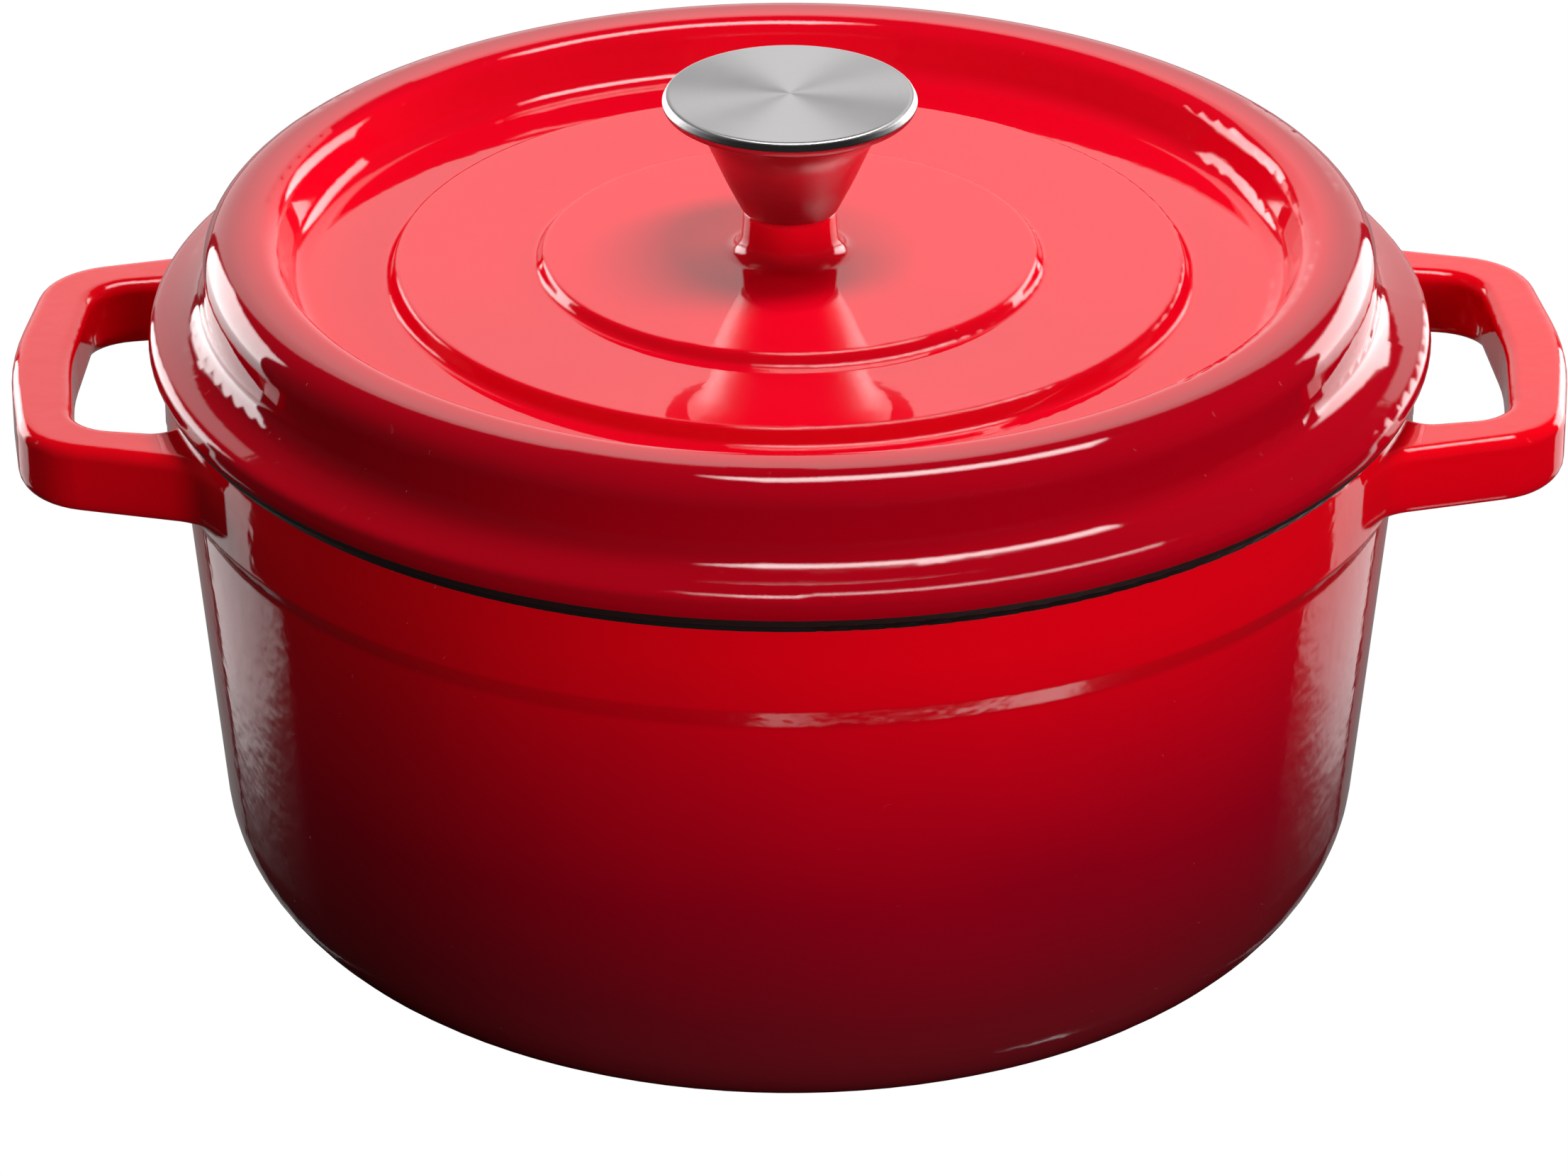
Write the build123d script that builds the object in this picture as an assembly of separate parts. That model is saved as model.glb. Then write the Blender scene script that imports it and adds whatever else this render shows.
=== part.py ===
from build123d import *
import os
from math import radians, tan

# Round cast iron oven with a loose lid, in millimetres.
# The origin is the centre of the base on the surface it stands on, +Z is up,
# and the two loop handles point along +X and -X.

# ---- driving dimensions -------------------------------------------------------
RIM_HEIGHT = 120.0          # base to the rim that the lid rests on
WALL_BASE_RADIUS = 114.4    # outer wall, carried down to the base plane
WALL_TAPER = 0.09           # outward growth of the wall per millimetre of height
WALL = 3.8                  # wall thickness
FLOOR = 4.2                 # base thickness
BASE_CORNER = 27.0          # outer radius between base and wall
BAND_RADIUS = 126.3         # thicker band round the top of the pot
BAND_BOTTOM = 101.2         # lower edge of the band
LEDGE_BOTTOM = 95.8         # where the slanted ledge under the band meets the wall

HANDLE_TOP = 116.7
HANDLE_HEIGHT = 15.0
HANDLE_REACH = 157.9        # from the pot's axis to the outermost point of the grip
GRIP_WIDTH = 12.8
ROOT_OUTSIDE = 49.8         # half the handle's width where it leaves the wall
CORNER_OUTSIDE = 40.8       # half its width at the outer corners
GAP_ROOT = 36.0             # half the width of the finger gap at the wall
GAP_CORNER = 32.6           # half its width at the grip
HANDLE_BOW = 110.0          # radius of the grip's gentle outward curve
GAP_BOW = 80.0              # the same curve on the inside of the grip
TOP_EDGE = 2.6              # rounding of the handle's edges
UNDER_EDGE = 4.2

LID_RADIUS = 129.2
LID_WALL = 3.6
FLANGE_HEIGHT = 3.1         # height of the flange's widest line above the rim
CREST_HEIGHT = 25.0         # top of the raised ring above the rim
CREST_OUTSIDE = 117.6       # outer side of the raised ring, just under its shoulder
CREST_INSIDE = 103.4        # where its inner slope meets its top
BASIN_HEIGHT = 14.3         # annular floor inside the raised ring
FIRST_STEP_RADIUS = 80.0
FIRST_STEP_HEIGHT = 17.6
SECOND_STEP_RADIUS = 50.4
SECOND_STEP_HEIGHT = 19.3
BOSS_RADIUS = 9.3
BOSS_HEIGHT = 28.1          # top of the boss that carries the knob
SPIGOT_RADIUS = 119.2       # locating ring under the lid
SPIGOT_DEPTH = 5.0

SCREW_RADIUS = 2.5
SCREW_CLEARANCE = 0.25      # round the screw where it passes through iron
THREAD_CLEARANCE = 0.05     # round the screw in the insert and the washers
KNOB_RADIUS = 25.6
KNOB_HEIGHT = 24.8          # underside of the stem to the flat top
KNOB_SHEET = 1.4            # wall of the hollow stem
FLAT_WASHER_THICKNESS = 1.2
LOCK_WASHER_THICKNESS = 1.4
LID_LIFT = RIM_HEIGHT       # height of the lid's own zero above the base
UNDER_BOSS = SECOND_STEP_HEIGHT - LID_WALL


def wall_radius(height):
    """Outer radius of the tapered wall at a height."""
    return WALL_BASE_RADIUS + WALL_TAPER * height


def turned(corners):
    """Solid of revolution about Z from closed (radius, height, fillet) corners."""
    points = [(radius, 0, height) for radius, height, _ in corners]
    fillets = [fillet_radius for _, _, fillet_radius in corners]
    outline = FilletPolyline(*points, radius=fillets, close=True)
    return revolve(make_face(outline), Axis.Z, 360)


def on_lid(shape):
    """Move a shape drawn above the rim plane to its place on the pot."""
    return Pos(0, 0, LID_LIFT) * shape


def drilled(shape, radius, low, high):
    """The shape with a round hole on the axis between two heights."""
    length = high - low
    return shape - Pos(0, 0, low + length / 2) * Cylinder(radius, length)


# ---- pot ------------------------------------------------------------------------
def pot_shell():
    inside_top = wall_radius(RIM_HEIGHT) - WALL
    inside_base = wall_radius(FLOOR) - WALL
    return turned([
        (0, 0, 0),
        (WALL_BASE_RADIUS, 0, BASE_CORNER),
        (wall_radius(LEDGE_BOTTOM), LEDGE_BOTTOM, 3.0),
        (BAND_RADIUS - 0.2, BAND_BOTTOM, 1.4),
        (BAND_RADIUS, RIM_HEIGHT, 2.2),
        (inside_top, RIM_HEIGHT, 1.2),
        (inside_base, FLOOR, BASE_CORNER - WALL),
        (0, FLOOR, 0),
    ])


def handle_outline():
    """Plan of the loop: a D with flared roots and a softly bowed grip."""
    half = [(108, 64, 0), (118.6, ROOT_OUTSIDE, 10.0), (HANDLE_REACH - 5.2, CORNER_OUTSIDE, 17.0)]
    return mirrored_loop(half, HANDLE_REACH, HANDLE_BOW)


def finger_gap():
    """Plan of the opening between the grip and the pot's wall."""
    grip_x = HANDLE_REACH - GRIP_WIDTH
    half = [(126.0, 9, 0), (120.6, GAP_ROOT, 5.0), (grip_x - 2.6, GAP_CORNER, 9.5)]
    return mirrored_loop(half, grip_x, GAP_BOW)


def mirrored_loop(half, tip_x, bow):
    """Closed plan from half of its corners, mirrored in X, with a bowed tip."""
    corners = half + [(tip_x, 0, bow)] + [(x, -y, r) for x, y, r in reversed(half)]
    points = [(x, y) for x, y, _ in corners]
    return make_face(FilletPolyline(*points, radius=[r for _, _, r in corners], close=True))


def handle():
    bottom = HANDLE_TOP - HANDLE_HEIGHT
    loop = Pos(0, 0, bottom) * extrude(handle_outline() - finger_gap(), HANDLE_HEIGHT)
    levels = loop.faces().sort_by(Axis.Z)
    loop = fillet(levels[-1].edges(), TOP_EDGE)
    loop = fillet(loop.faces().sort_by(Axis.Z)[0].edges(), UNDER_EDGE)
    bore = Pos(0, 0, HANDLE_TOP) * Cylinder(wall_radius(RIM_HEIGHT) - WALL / 2, 60)
    return loop - bore


def pot_body():
    right = handle()
    return pot_shell() + right + Rot(0, 0, 180) * right


# ---- lid ------------------------------------------------------------------------
def lid():
    inner_slope = tan(radians(20))
    basin_edge = CREST_INSIDE - inner_slope * (CREST_HEIGHT - BASIN_HEIGHT)
    under_crest = CREST_HEIGHT - LID_WALL
    under_basin = BASIN_HEIGHT - LID_WALL
    under_first = FIRST_STEP_HEIGHT - LID_WALL
    spigot_inside = SPIGOT_RADIUS - 3.8
    body = turned([
        (0, BOSS_HEIGHT, 0),
        (BOSS_RADIUS, BOSS_HEIGHT, 0.7),
        (BOSS_RADIUS + 0.7, SECOND_STEP_HEIGHT - 0.3, 3.6),
        (SECOND_STEP_RADIUS - 0.8, SECOND_STEP_HEIGHT, 1.0),
        (SECOND_STEP_RADIUS + 0.6, FIRST_STEP_HEIGHT - 0.6, 1.2),
        (FIRST_STEP_RADIUS - 0.8, FIRST_STEP_HEIGHT, 1.0),
        (FIRST_STEP_RADIUS + 0.8, BASIN_HEIGHT, 1.4),
        (basin_edge, BASIN_HEIGHT, 4.5),
        (CREST_INSIDE, CREST_HEIGHT, 4.0),
        (CREST_OUTSIDE, CREST_HEIGHT, 6.5),
        (CREST_OUTSIDE + 0.4, FLANGE_HEIGHT + 7.0, 4.5),
        (CREST_OUTSIDE + 5.4, FLANGE_HEIGHT + 4.8, 24.0),
        (LID_RADIUS - 0.6, FLANGE_HEIGHT + 3.1, 2.0),
        (LID_RADIUS, FLANGE_HEIGHT, 1.5),
        (LID_RADIUS - 1.4, 0, 0.7),
        (SPIGOT_RADIUS, 0, 0),
        (SPIGOT_RADIUS, -SPIGOT_DEPTH, 1.0),
        (SPIGOT_RADIUS - 3.2, -SPIGOT_DEPTH, 1.0),
        (spigot_inside, FLANGE_HEIGHT + 3.4, 3.0),
        (CREST_OUTSIDE - LID_WALL, under_crest, 3.4),
        (CREST_INSIDE + LID_WALL, under_crest, 2.5),
        (basin_edge + LID_WALL, under_basin, 3.0),
        (FIRST_STEP_RADIUS - LID_WALL, under_basin, 6.0),
        (FIRST_STEP_RADIUS - 3 * LID_WALL, under_first, 6.0),
        (SECOND_STEP_RADIUS - LID_WALL, under_first, 6.0),
        (SECOND_STEP_RADIUS - 3 * LID_WALL, UNDER_BOSS, 6.0),
        (0, UNDER_BOSS, 0),
    ])
    hole = SCREW_RADIUS + SCREW_CLEARANCE
    return on_lid(drilled(body, hole, 0, BOSS_HEIGHT + 1))


# ---- knob -----------------------------------------------------------------------
def knob_shell():
    """Flared hollow stem, closed below by a floor that the screw pulls down."""
    top = KNOB_HEIGHT - 4.6
    stem = turned([
        (0, 0, 0),
        (9.6, 0, 0.9),
        (12.9, 6.6, 40.0),
        (17.2, 16.4, 20.0),
        (20.4, top, 0),
        (20.4 - 1.6 * KNOB_SHEET, top, 0),
        (17.2 - KNOB_SHEET, 16.9, 15.0),
        (12.9 - KNOB_SHEET, 7.2, 20.0),
        (9.6 - KNOB_SHEET, 2.0, 0.5),
        (0, 2.0, 0),
    ])
    stem = drilled(stem, SCREW_RADIUS + SCREW_CLEARANCE, -1, 3)
    return on_lid(Pos(0, 0, BOSS_HEIGHT) * stem)


def knob_cap():
    """Flat disc with a rounded rim, dished underneath where it meets the stem."""
    low = KNOB_HEIGHT - 4.6
    disc = turned([
        (0, KNOB_HEIGHT, 0),
        (KNOB_RADIUS - 0.9, KNOB_HEIGHT, 1.2),
        (KNOB_RADIUS, KNOB_HEIGHT - 1.7, 0.9),
        (KNOB_RADIUS - 0.7, KNOB_HEIGHT - 3.0, 1.2),
        (20.4, low, 0),
        (18.0, low, 0),
        (17.4, KNOB_HEIGHT - 2.0, 0.8),
        (0, KNOB_HEIGHT - 2.0, 0),
    ])
    return on_lid(Pos(0, 0, BOSS_HEIGHT) * disc)


def knob_insert():
    """Hexagonal nut insert that stands on the stem's floor and takes the screw."""
    height = 11.0
    body = extrude(RegularPolygon(5.2, 6), height)
    body = chamfer(body.edges().group_by(Axis.Z)[-1], 0.6)
    body = drilled(body, SCREW_RADIUS + THREAD_CLEARANCE, -1, height + 1)
    return on_lid(Pos(0, 0, BOSS_HEIGHT + 2.0) * body)


# ---- screw and washers under the lid ----------------------------------------------
def flat_washer():
    ring = Cylinder(7.0, FLAT_WASHER_THICKNESS) - Cylinder(SCREW_RADIUS + THREAD_CLEARANCE, 10)
    return on_lid(Pos(0, 0, UNDER_BOSS - FLAT_WASHER_THICKNESS / 2) * ring)


def lock_washer():
    """Split ring with a square section."""
    ring = Cylinder(4.4, LOCK_WASHER_THICKNESS) - Cylinder(SCREW_RADIUS + THREAD_CLEARANCE, 10)
    ring = ring - Pos(4, 0, 0) * Rot(0, 30, 0) * Box(5, 0.8, 10)
    height = UNDER_BOSS - FLAT_WASHER_THICKNESS - LOCK_WASHER_THICKNESS / 2
    return on_lid(Pos(0, 0, height) * ring)


def knob_screw():
    """Pan head screw, driven from under the lid up into the insert."""
    seat = UNDER_BOSS - FLAT_WASHER_THICKNESS - LOCK_WASHER_THICKNESS
    tip = BOSS_HEIGHT + 2.0 + 9.0
    head = 3.2
    screw = turned([
        (0, seat - head, 0),
        (4.75, seat - head, 1.6),
        (4.75, seat, 0),
        (SCREW_RADIUS, seat, 0),
        (SCREW_RADIUS, tip, 0.8),
        (0, tip, 0),
    ])
    slot = Box(1.1, 5.2, 2 * 1.8)
    recess = Pos(0, 0, seat - head) * (slot + Rot(0, 0, 90) * slot)
    return on_lid(screw - recess)


PIECES = {
    "pot_body": pot_body,
    "lid": lid,
    "knob_shell": knob_shell,
    "knob_cap": knob_cap,
    "knob_insert": knob_insert,
    "knob_screw": knob_screw,
    "flat_washer": flat_washer,
    "lock_washer": lock_washer,
}

os.makedirs("parts", exist_ok=True)
for node, make in PIECES.items():
    export_step(make(), f"parts/{node}.step")
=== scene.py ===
import bpy
from math import cos, pi, radians, sin
from mathutils import Matrix, Vector


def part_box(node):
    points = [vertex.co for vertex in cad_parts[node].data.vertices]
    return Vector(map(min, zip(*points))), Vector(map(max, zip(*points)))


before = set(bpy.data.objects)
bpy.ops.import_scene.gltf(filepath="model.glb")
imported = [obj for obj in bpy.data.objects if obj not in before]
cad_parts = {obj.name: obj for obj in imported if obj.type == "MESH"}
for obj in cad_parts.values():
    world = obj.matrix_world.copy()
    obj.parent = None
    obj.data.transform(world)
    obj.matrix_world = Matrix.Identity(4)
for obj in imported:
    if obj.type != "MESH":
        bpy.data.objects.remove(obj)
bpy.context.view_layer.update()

MM = 0.001
scene = bpy.context.scene
scene.view_settings.view_transform = "Standard"

# ---- where the colours change, in metres --------------------------------------
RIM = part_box("pot_body")[1].z
BARE_RIM_DEPTH = 1.8 * MM
BARE_SEAT_HEIGHT = 1.7 * MM
BARE_SEAT_RADIUS = 0.1170
LID_LINING_RADIUS = 0.1186
# The lid's red darkens between these radii, partly as painted shade.
LID_SHADE_FROM = 0.100
LID_SHADE_TO = 0.114
FACES_DOWN = -0.01  # a normal's z below this faces down

# The lining of the pot ends half way through the wall. That surface leans out by
# WALL_TAPER and turns into the base round a corner with this centre and radius.
WALL_TAPER = 0.09
CORNER_REACH = 0.0874
CORNER_HEIGHT = 0.027
CORNER_RADIUS = 0.0251

# ---- finishes -----------------------------------------------------------------
ENAMEL_IOR = 1.5
ENAMEL_ROUGHNESS = 0.03
ENAMEL_HAZE = 0.02
IRON_ROUGHNESS = 0.48
EDGE_ROUNDING = 1.2 * MM
PIT_DEPTH = 0.02 * MM
PIT_THRESHOLD = 0.83
IRON_GRAIN = 0.05 * MM
POT_WAVES = 0.050 * MM
LID_WAVES = 0.012 * MM
SWELL_TO_PEEL = 2.4
COLOUR_DRIFT = 0.10
SCRATCH_SPREAD = 0.12
SCRATCH_SHADE = 0.86
CLOUD_SPREAD = 0.05
STEEL_GRAIN = 0.0010 * MM
ZINC_GRAIN = 0.0012 * MM

# Colours from the deepest to the brightest on the pot, by height as a part of RIM.
POT_STOPS = [(0.0, (0.15, 0.010, 0.014)), (0.22, (0.17, 0.004, 0.010)),
             (0.44, (0.32, 0.0, 0.010)), (0.67, (0.58, 0.0, 0.010)), (0.92, (0.88, 0.0, 0.008))]
# Colours from the lid's dish, 0, to outside its ring, 1. The deeper red outside the ring is
# partly the enamel's own colour and partly painted shade for the dark outer slope.
LID_RED_AND_SHADE_STOPS = [(0.0, (0.90, 0.001, 0.016)), (0.45, (0.72, 0.0, 0.012)), (1.0, (0.42, 0.0, 0.008))]
CREAM_STOPS = [(0.0, (0.42, 0.33, 0.22)), (0.24, (0.74, 0.66, 0.52)), (1.0, (0.80, 0.73, 0.60))]
BARE_IRON = (0.014, 0.009, 0.009, 1.0)
# Disc and stem are the same steel; the disc's darker tint is painted shade on the knob's top.
DISC_TINT_WITH_SHADE = (0.48, 0.47, 0.47)
STEM_TINT = (0.78, 0.75, 0.74)
ZINC_TINT = (0.62, 0.63, 0.60)
WHITE = (1, 1, 1, 1)

# Places of a Mix node's two inputs and of its output, for the data that it mixes.
MIX_SOCKETS = {"RGBA": (6, 7, 2), "VECTOR": (4, 5, 1)}


# ---- node helpers -------------------------------------------------------------
class Shader:
    """A new material with short calls for its nodes."""

    def __init__(self, name):
        self.material = bpy.data.materials.new(name)
        self.material.use_nodes = True
        self.tree = self.material.node_tree
        self.surface = self.tree.nodes["Principled BSDF"]

    def node(self, kind, **settings):
        """A new node, with its settings made."""
        made = self.tree.nodes.new("ShaderNode" + kind)
        for key, value in settings.items():
            setattr(made, key, value)
        return made

    def link(self, source, target):
        self.tree.links.new(source, target)

    def drive(self, name, source):
        """Connects an output to one of the surface's own sockets."""
        self.link(source, self.surface.inputs[name])

    def feed(self, socket, value):
        """Connects an output to a socket, or sets a plain value on it."""
        if isinstance(value, bpy.types.NodeSocket):
            self.link(value, socket)
        else:
            socket.default_value = value

    def set(self, **values):
        """Plain values on the surface's own sockets."""
        for key, value in values.items():
            self.surface.inputs[key.replace("_", " ")].default_value = value

    def math(self, operation, first, second=0.0):
        made = self.node("Math", operation=operation)
        self.feed(made.inputs[0], first)
        self.feed(made.inputs[1], second)
        return made.outputs[0]

    def length(self, first, second):
        """Square root of the sum of two squares."""
        squares = [self.math("POWER", part, 2.0) for part in (first, second)]
        return self.math("SQRT", self.math("ADD", *squares))

    def split(self, vector):
        """The three parts of a vector."""
        made = self.node("SeparateXYZ")
        self.link(vector, made.inputs[0])
        return tuple(made.outputs)

    def object_place(self):
        """Place on the object, and its three parts."""
        place = self.node("TexCoord").outputs["Object"]
        return place, *self.split(place)

    def ramp(self, factor, stops):
        """Colour ramp from (position, colour) stops."""
        made = self.node("ValToRGB")
        ramp = made.color_ramp
        while len(ramp.elements) < len(stops):
            ramp.elements.new(1.0)
        for element, (position, colour) in zip(ramp.elements, stops):
            element.position = position
            element.color = (*colour, 1.0)
        self.link(factor, made.inputs[0])
        return made.outputs[0]

    def noise(self, vector, scale, detail=2.0, roughness=0.5):
        made = self.node("TexNoise")
        made.inputs["Scale"].default_value = scale
        made.inputs["Detail"].default_value = detail
        made.inputs["Roughness"].default_value = roughness
        self.link(vector, made.inputs["Vector"])
        return made.outputs[0]

    def mix(self, factor, first, second, data="RGBA"):
        """The first value where the factor is 0, the second where it is 1."""
        made = self.node("Mix", data_type=data)
        first_at, second_at, result_at = MIX_SOCKETS[data]
        self.feed(made.inputs[0], factor)
        self.feed(made.inputs[first_at], first)
        self.feed(made.inputs[second_at], second)
        return made.outputs[result_at]

    def bump(self, height, distance, normal=None):
        """A normal tilted by a height, on top of another normal if one is given."""
        made = self.node("Bump")
        made.inputs["Strength"].default_value = 1.0
        made.inputs["Distance"].default_value = distance
        self.link(height, made.inputs["Height"])
        if normal is not None:
            self.link(normal, made.inputs["Normal"])
        return made.outputs[0]


# ---- enamel -------------------------------------------------------------------
def enamel_normal(s, place, waves):
    """Faint swells, orange peel and pinholes, over evened-out facets."""
    rounded = s.node("Bevel", samples=6)
    rounded.inputs["Radius"].default_value = EDGE_ROUNDING
    swell = s.noise(place, scale=70.0, detail=1.0)
    normal = s.bump(swell, SWELL_TO_PEEL * waves, rounded.outputs[0])
    peel = s.noise(place, scale=300.0, detail=1.0)
    normal = s.bump(peel, waves, normal)
    pits = s.math("GREATER_THAN", s.noise(place, scale=420.0, detail=0.0), PIT_THRESHOLD)
    return s.bump(s.math("SUBTRACT", 1.0, pits), PIT_DEPTH, normal)


def gloss_coat(s, place, bare, waves):
    """Glossy enamel where bare is 0, rough iron where it is 1."""
    grit = s.noise(place, scale=2600.0, detail=2.0)
    iron = s.bump(grit, IRON_GRAIN)
    s.drive("Normal", s.mix(bare, enamel_normal(s, place, waves), iron, data="VECTOR"))
    haze = s.math("MULTIPLY", s.noise(place, scale=45.0, detail=2.0), ENAMEL_HAZE)
    rougher = s.math("MULTIPLY", bare, IRON_ROUGHNESS - ENAMEL_ROUGHNESS)
    rough = s.math("ADD", rougher, ENAMEL_ROUGHNESS)
    s.drive("Roughness", s.math("ADD", rough, haze))
    s.set(IOR=ENAMEL_IOR)


def shaded_red(s, place, level, stops):
    """Red enamel whose colour follows a level, with a little drift. On the lid the level also
    carries painted shade.
    """
    cloud = s.noise(place, scale=22.0, detail=3.0)
    drift = s.math("MULTIPLY", s.math("SUBTRACT", cloud, 0.5), COLOUR_DRIFT)
    return s.ramp(s.math("ADD", level, drift), stops)


def cream(s, place):
    """Pale sand-coloured lining with darker flecks."""
    return s.ramp(s.noise(place, scale=900.0, detail=1.0), CREAM_STOPS)


def inside_pot(s, reach, height):
    """1 inside the surface half way through the pot's wall, 0 outside it."""
    upright = s.math("SUBTRACT", reach, s.math("MULTIPLY", height, WALL_TAPER))
    past_corner = s.math("MAXIMUM", s.math("SUBTRACT", upright, CORNER_REACH), 0.0)
    under_corner = s.math("MAXIMUM", s.math("SUBTRACT", CORNER_HEIGHT, height), 0.0)
    return s.math("LESS_THAN", s.length(past_corner, under_corner), CORNER_RADIUS)


def pot_enamel():
    """Red outside that deepens to burgundy at the base, cream inside, bare rim."""
    s = Shader("pot_enamel")
    place, x, y, height = s.object_place()
    outside = shaded_red(s, place, s.math("DIVIDE", height, RIM), POT_STOPS)
    inside = inside_pot(s, s.length(x, y), height)
    colour = s.mix(inside, outside, cream(s, place))
    bare = s.math("GREATER_THAN", height, RIM - BARE_RIM_DEPTH)
    s.drive("Base Color", s.mix(bare, colour, BARE_IRON))
    gloss_coat(s, place, bare, POT_WAVES)
    return s.material


def lid_enamel():
    """Bright red dish, deeper red outside the ring that is partly painted shade, cream
    underneath, bare seat.
    """
    s = Shader("lid_enamel")
    place, x, y, height = s.object_place()
    reach = s.length(x, y)
    # Deeper red outside the ring: partly the enamel's own colour, partly painted shade.
    outer_darkening = s.node("MapRange", interpolation_type="SMOOTHSTEP")
    outer_darkening.inputs["From Min"].default_value = LID_SHADE_FROM
    outer_darkening.inputs["From Max"].default_value = LID_SHADE_TO
    s.link(reach, outer_darkening.inputs["Value"])
    outside = shaded_red(s, place, outer_darkening.outputs[0], LID_RED_AND_SHADE_STOPS)
    facing_up = s.split(s.node("NewGeometry").outputs["Normal"])[2]
    underneath = s.math("LESS_THAN", facing_up, FACES_DOWN)
    lining = s.math("MULTIPLY", underneath, s.math("LESS_THAN", reach, LID_LINING_RADIUS))
    colour = s.mix(lining, outside, cream(s, place))
    low = s.math("LESS_THAN", height, RIM + BARE_SEAT_HEIGHT)
    bare = s.math("MULTIPLY", low, s.math("GREATER_THAN", reach, BARE_SEAT_RADIUS))
    s.drive("Base Color", s.mix(bare, colour, BARE_IRON))
    gloss_coat(s, place, bare, LID_WAVES)
    return s.material


# ---- steel --------------------------------------------------------------------
def steel(name, tint, roughness, grain, turned=True):
    """Steel with fine scratches in rings round the axis; turned steel also has
    highlights drawn out by them."""
    s = Shader(name)
    place, x, y, height = s.object_place()
    rings = s.node("CombineXYZ")
    s.link(s.length(x, y), rings.inputs[0])
    s.link(height, rings.inputs[2])
    scratch = s.noise(rings.outputs[0], scale=9000.0, detail=3.0, roughness=0.7)
    cloud = s.noise(place, scale=160.0)
    spread = s.math("MULTIPLY", scratch, SCRATCH_SPREAD)
    rough = s.math("ADD", spread, roughness - SCRATCH_SPREAD / 2)
    s.drive("Roughness", s.math("ADD", rough, s.math("MULTIPLY", cloud, CLOUD_SPREAD)))
    s.drive("Normal", s.bump(scratch, grain))
    darker = tuple(SCRATCH_SHADE * part for part in tint)
    s.drive("Base Color", s.ramp(scratch, [(0.25, darker), (0.75, tint)]))
    s.set(Metallic=1.0)
    if turned:
        tangent = s.node("Tangent", direction_type="RADIAL", axis="Z")
        s.drive("Tangent", tangent.outputs[0])
        s.set(Anisotropic=0.75)
    return s.material


def paint(node, material):
    """Gives a CAD piece its one material."""
    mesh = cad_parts[node].data
    mesh.materials.clear()
    mesh.materials.append(material)


paint("pot_body", pot_enamel())
paint("lid", lid_enamel())
paint("knob_cap", steel("disc_steel", DISC_TINT_WITH_SHADE, roughness=0.33, grain=STEEL_GRAIN))
paint("knob_shell", steel("stem_steel", STEM_TINT, roughness=0.36, grain=STEEL_GRAIN))
for small in ("knob_insert", "knob_screw", "flat_washer", "lock_washer"):
    zinc = steel(small + "_zinc", ZINC_TINT, roughness=0.30, grain=ZINC_GRAIN, turned=False)
    paint(small, zinc)


# ---- floor --------------------------------------------------------------------
def sheet(name, z, size):
    """A square level sheet."""
    mesh = bpy.data.meshes.new(name)
    h = size / 2
    mesh.from_pydata([(-h, -h, z), (h, -h, z), (h, h, z), (-h, h, z)], [], [(0, 1, 2, 3)])
    made = bpy.data.objects.new(name, mesh)
    scene.collection.objects.link(made)
    return made


def seen_floor():
    """The white floor, which only the camera sees."""
    made = sheet("floor", z=-0.2 * MM, size=30.0)
    s = Shader("floor_white")
    glow = s.node("Emission")
    glow.inputs["Color"].default_value = WHITE
    glow.inputs["Strength"].default_value = 1.0
    s.link(glow.outputs[0], s.tree.nodes["Material Output"].inputs[0])
    made.data.materials.append(s.material)
    for ray in ("diffuse", "glossy", "transmission", "shadow"):
        setattr(made, "visible_" + ray, False)


def polished_table():
    """The dark polished table top, seen only as a reflection in the oven."""
    made = sheet("table_top", z=-0.4 * MM, size=4.0)
    s = Shader("table_polish")
    s.set(Base_Color=(0.004, 0.004, 0.004, 1.0), Roughness=0.09, IOR=2.0)
    made.data.materials.append(s.material)
    made.visible_camera = False


seen_floor()
polished_table()


# ---- light --------------------------------------------------------------------
ROOM_BRIGHTNESS = 0.03


def around(azimuth, reach, height):
    """Place at an azimuth in degrees from the front, positive towards +X."""
    turn = radians(azimuth)
    return (reach * sin(turn), -reach * cos(turn), height)


def softbox(name, place, target, size, brightness, spin=0, glossy=True):
    """Area light of a given size and brightness, facing a target."""
    width, height = size
    lamp = bpy.data.lights.new(name, "AREA")
    lamp.shape = "RECTANGLE"
    lamp.size = width
    lamp.size_y = height
    lamp.energy = brightness * pi * width * height
    made = bpy.data.objects.new(name, lamp)
    made.location = place
    facing = (Vector(place) - Vector(target)).to_track_quat("Z", "Y").to_matrix()
    made.rotation_euler = (Matrix.Rotation(radians(spin), 3, "Z") @ facing).to_euler()
    made.visible_camera = False
    made.visible_glossy = glossy
    scene.collection.objects.link(made)


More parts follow.
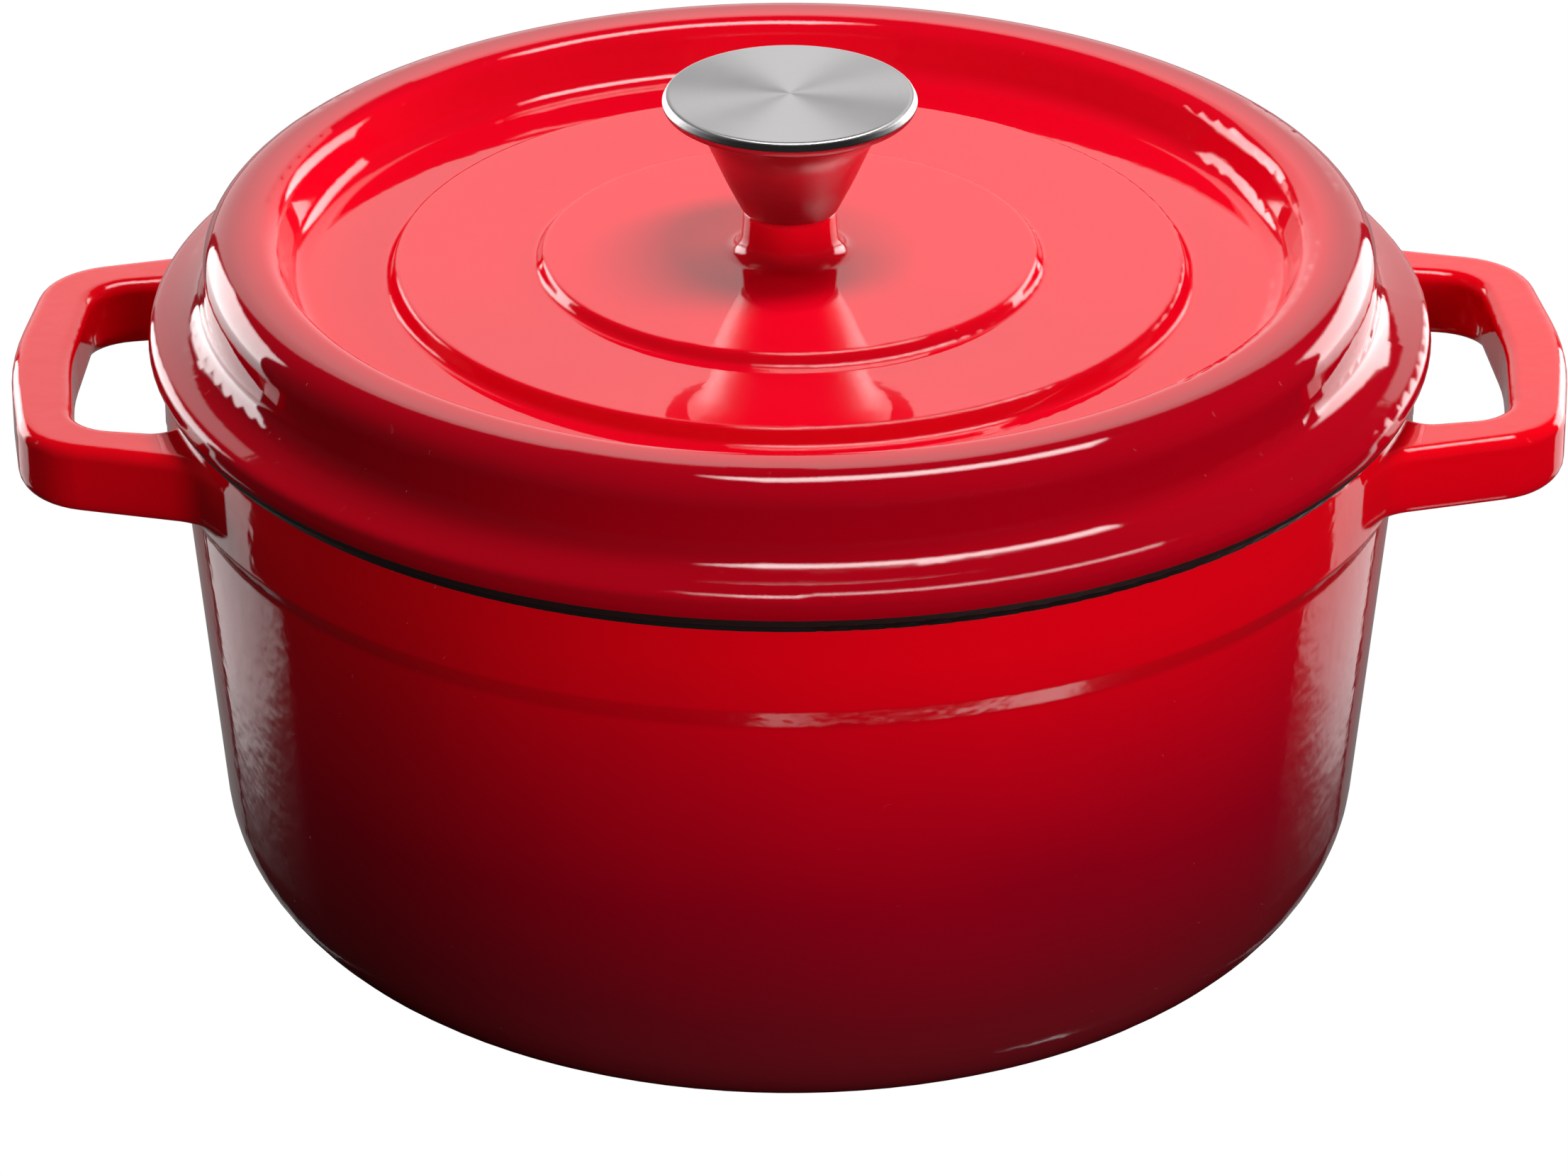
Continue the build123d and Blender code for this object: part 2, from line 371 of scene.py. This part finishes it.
def side_box(name, azimuth):
    """Tall box beside and behind the oven, facing its axis."""
    reach, height = 1.4, 0.27
    place = around(azimuth, reach, height)
    softbox(name, place, (0, 0, height), size=(0.85, 1.05), brightness=6.5)


def lights():
    """Boxes overhead and at both sides, a dim backdrop, and a fill from the front
    that leaves no reflection."""
    softbox("overhead", (0.23, 0.05, 1.14), (0.23, 0.05, 0), size=(0.70, 0.28),
            brightness=14.5, spin=20)
    side_box("left_box", -131)
    side_box("right_box", 131)
    softbox("backdrop", (0, 2.2, 1.05), (0, 0, 1.05), size=(2.3, 2.0), brightness=1.2)
    softbox("front_fill", around(29, 1.5, 0.12), (0, 0, 0.06), size=(1.0, 0.5),
            brightness=12.5, glossy=False)


def room():
    """White seen directly, and a dim room in the reflections."""
    world = bpy.data.worlds.new("room")
    scene.world = world
    world.use_nodes = True
    tree = world.node_tree
    background = tree.nodes["Background"]
    background.inputs["Color"].default_value = WHITE
    path = tree.nodes.new("ShaderNodeLightPath")
    share = tree.nodes.new("ShaderNodeMapRange")
    share.inputs["To Min"].default_value = ROOM_BRIGHTNESS
    share.inputs["To Max"].default_value = 1.0
    tree.links.new(path.outputs["Is Camera Ray"], share.inputs["Value"])
    tree.links.new(share.outputs[0], background.inputs["Strength"])


lights()
room()

# ---- camera -------------------------------------------------------------------
FOCAL_LENGTH = 167.95
CAMERA_AZIMUTH = -1.0
CAMERA_REACH = 1.3366
CAMERA_HEIGHT = 0.7542
LOOK_DOWN = 27.37
LOOK_LEFT = 0.05


def camera():
    """Long lens from the front, a little to the left, looking down on the oven."""
    lens = bpy.data.cameras.new("camera")
    lens.sensor_width = 36.0
    lens.lens = FOCAL_LENGTH
    lens.clip_end = 60.0
    made = bpy.data.objects.new("camera", lens)
    made.location = around(CAMERA_AZIMUTH, CAMERA_REACH, CAMERA_HEIGHT)
    heading = radians(CAMERA_AZIMUTH) + radians(LOOK_LEFT)
    made.rotation_euler = (radians(90 - LOOK_DOWN), 0, heading)
    scene.collection.objects.link(made)
    scene.camera = made


camera()
